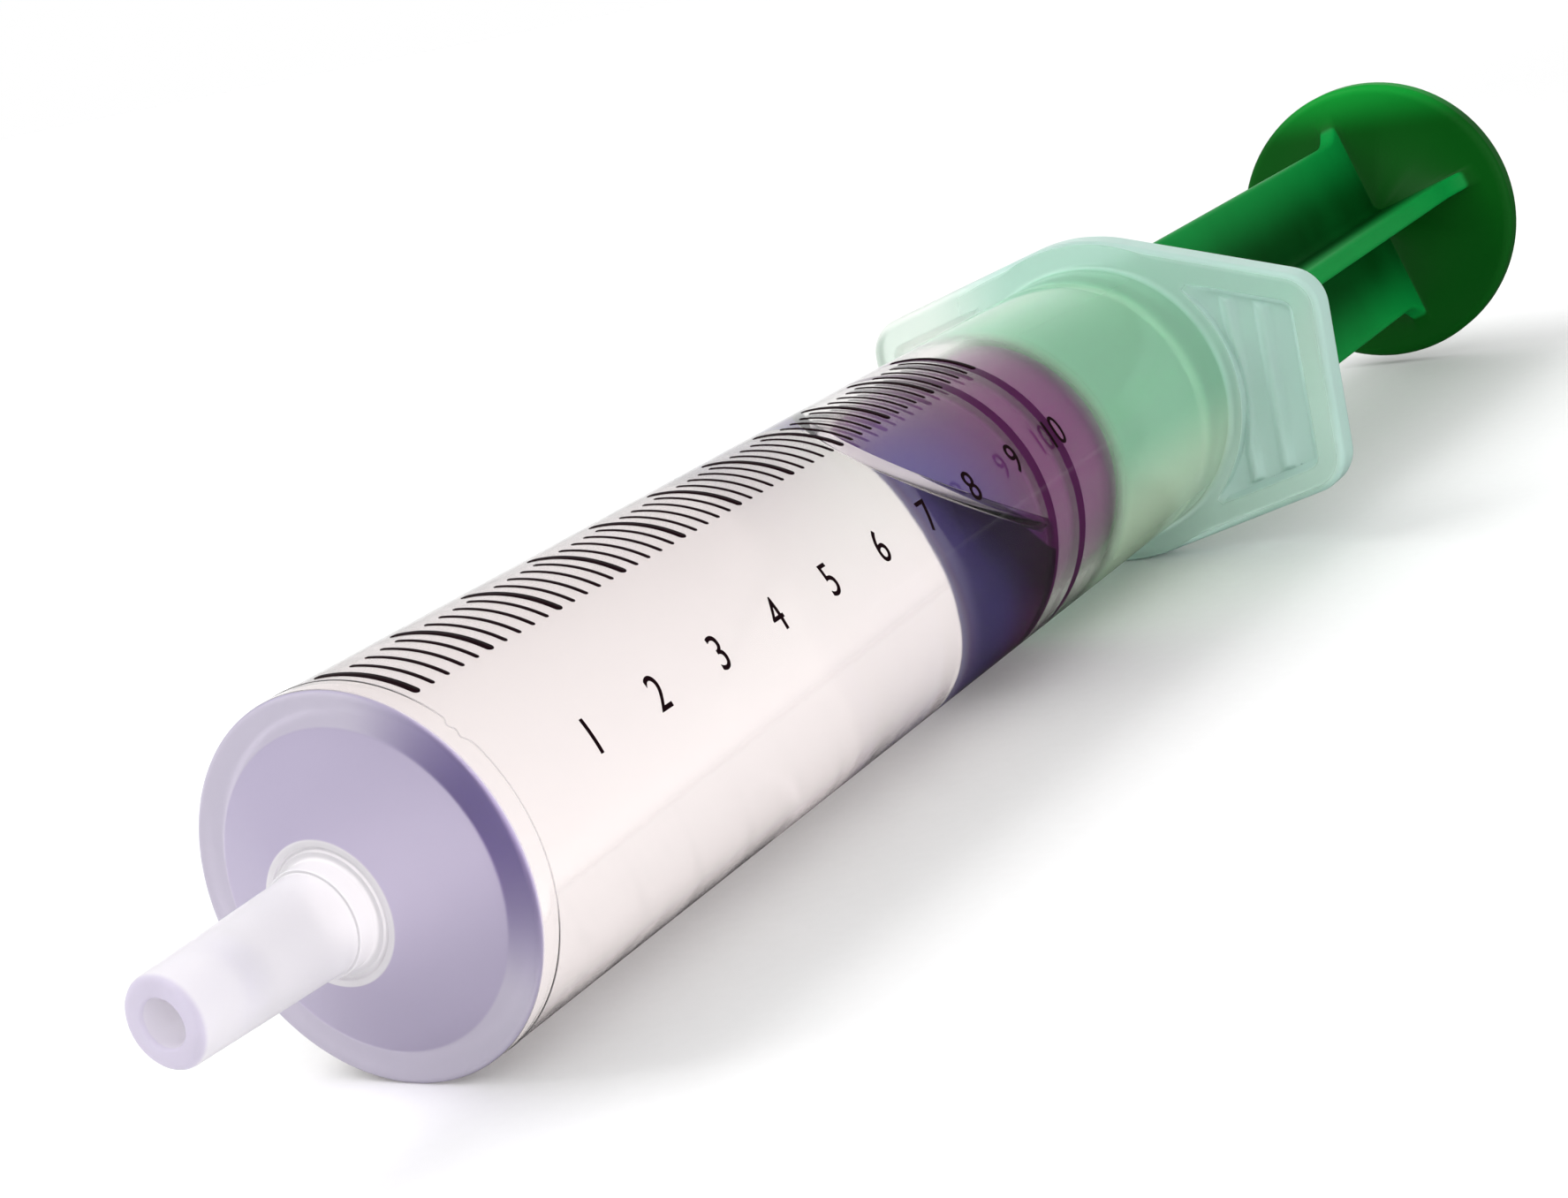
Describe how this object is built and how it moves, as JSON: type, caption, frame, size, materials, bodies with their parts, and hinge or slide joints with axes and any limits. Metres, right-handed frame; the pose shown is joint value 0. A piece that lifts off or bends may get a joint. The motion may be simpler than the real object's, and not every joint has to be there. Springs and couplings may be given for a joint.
{
  "type": "prefilled slip tip syringe",
  "caption": "Clear graduated syringe barrel with a conical slip tip and winged flange, a dark rubber stopper behind its fluid, and a cross-section plunger rod with a round thumb rest.",
  "frame": {"origin": "centre of the tip's open end", "axes": "+X runs along the syringe from the tip to the thumb rest, Y along the finger wings, and +Z out through the printed scale"},
  "size_m": [0.1475, 0.031, 0.022],
  "materials": {
    "clear_barrel": "clear, slightly milky moulded polypropylene",
    "scale_ink": "screen-printed dark ink",
    "fluid": "clear glycerine and water",
    "stopper_rubber": "dark plum moulded rubber with an oily sheen",
    "green_plastic": "glossy dark green moulded polypropylene"
  },
  "bodies": {
    "barrel": {"barrel": "clear_barrel", "scale_marks": "scale_ink", "fluid_fill": "fluid"},
    "stopper": {"stopper": "stopper_rubber"},
    "plunger": {"plunger_rod": "green_plastic"}
  },
  "joints": [
    {"name": "stopper_slide", "type": "slide", "parent": "barrel", "child": "stopper", "axis": [1, 0, 0], "range_m": [-0.049, 0.011], "deforming": ["fluid_fill"]},
    {"name": "rod_turn", "type": "hinge", "parent": "stopper", "child": "plunger", "pos_m": [0.0625, 0, 0], "axis": [1, 0, 0], "continuous": true}
  ]
}
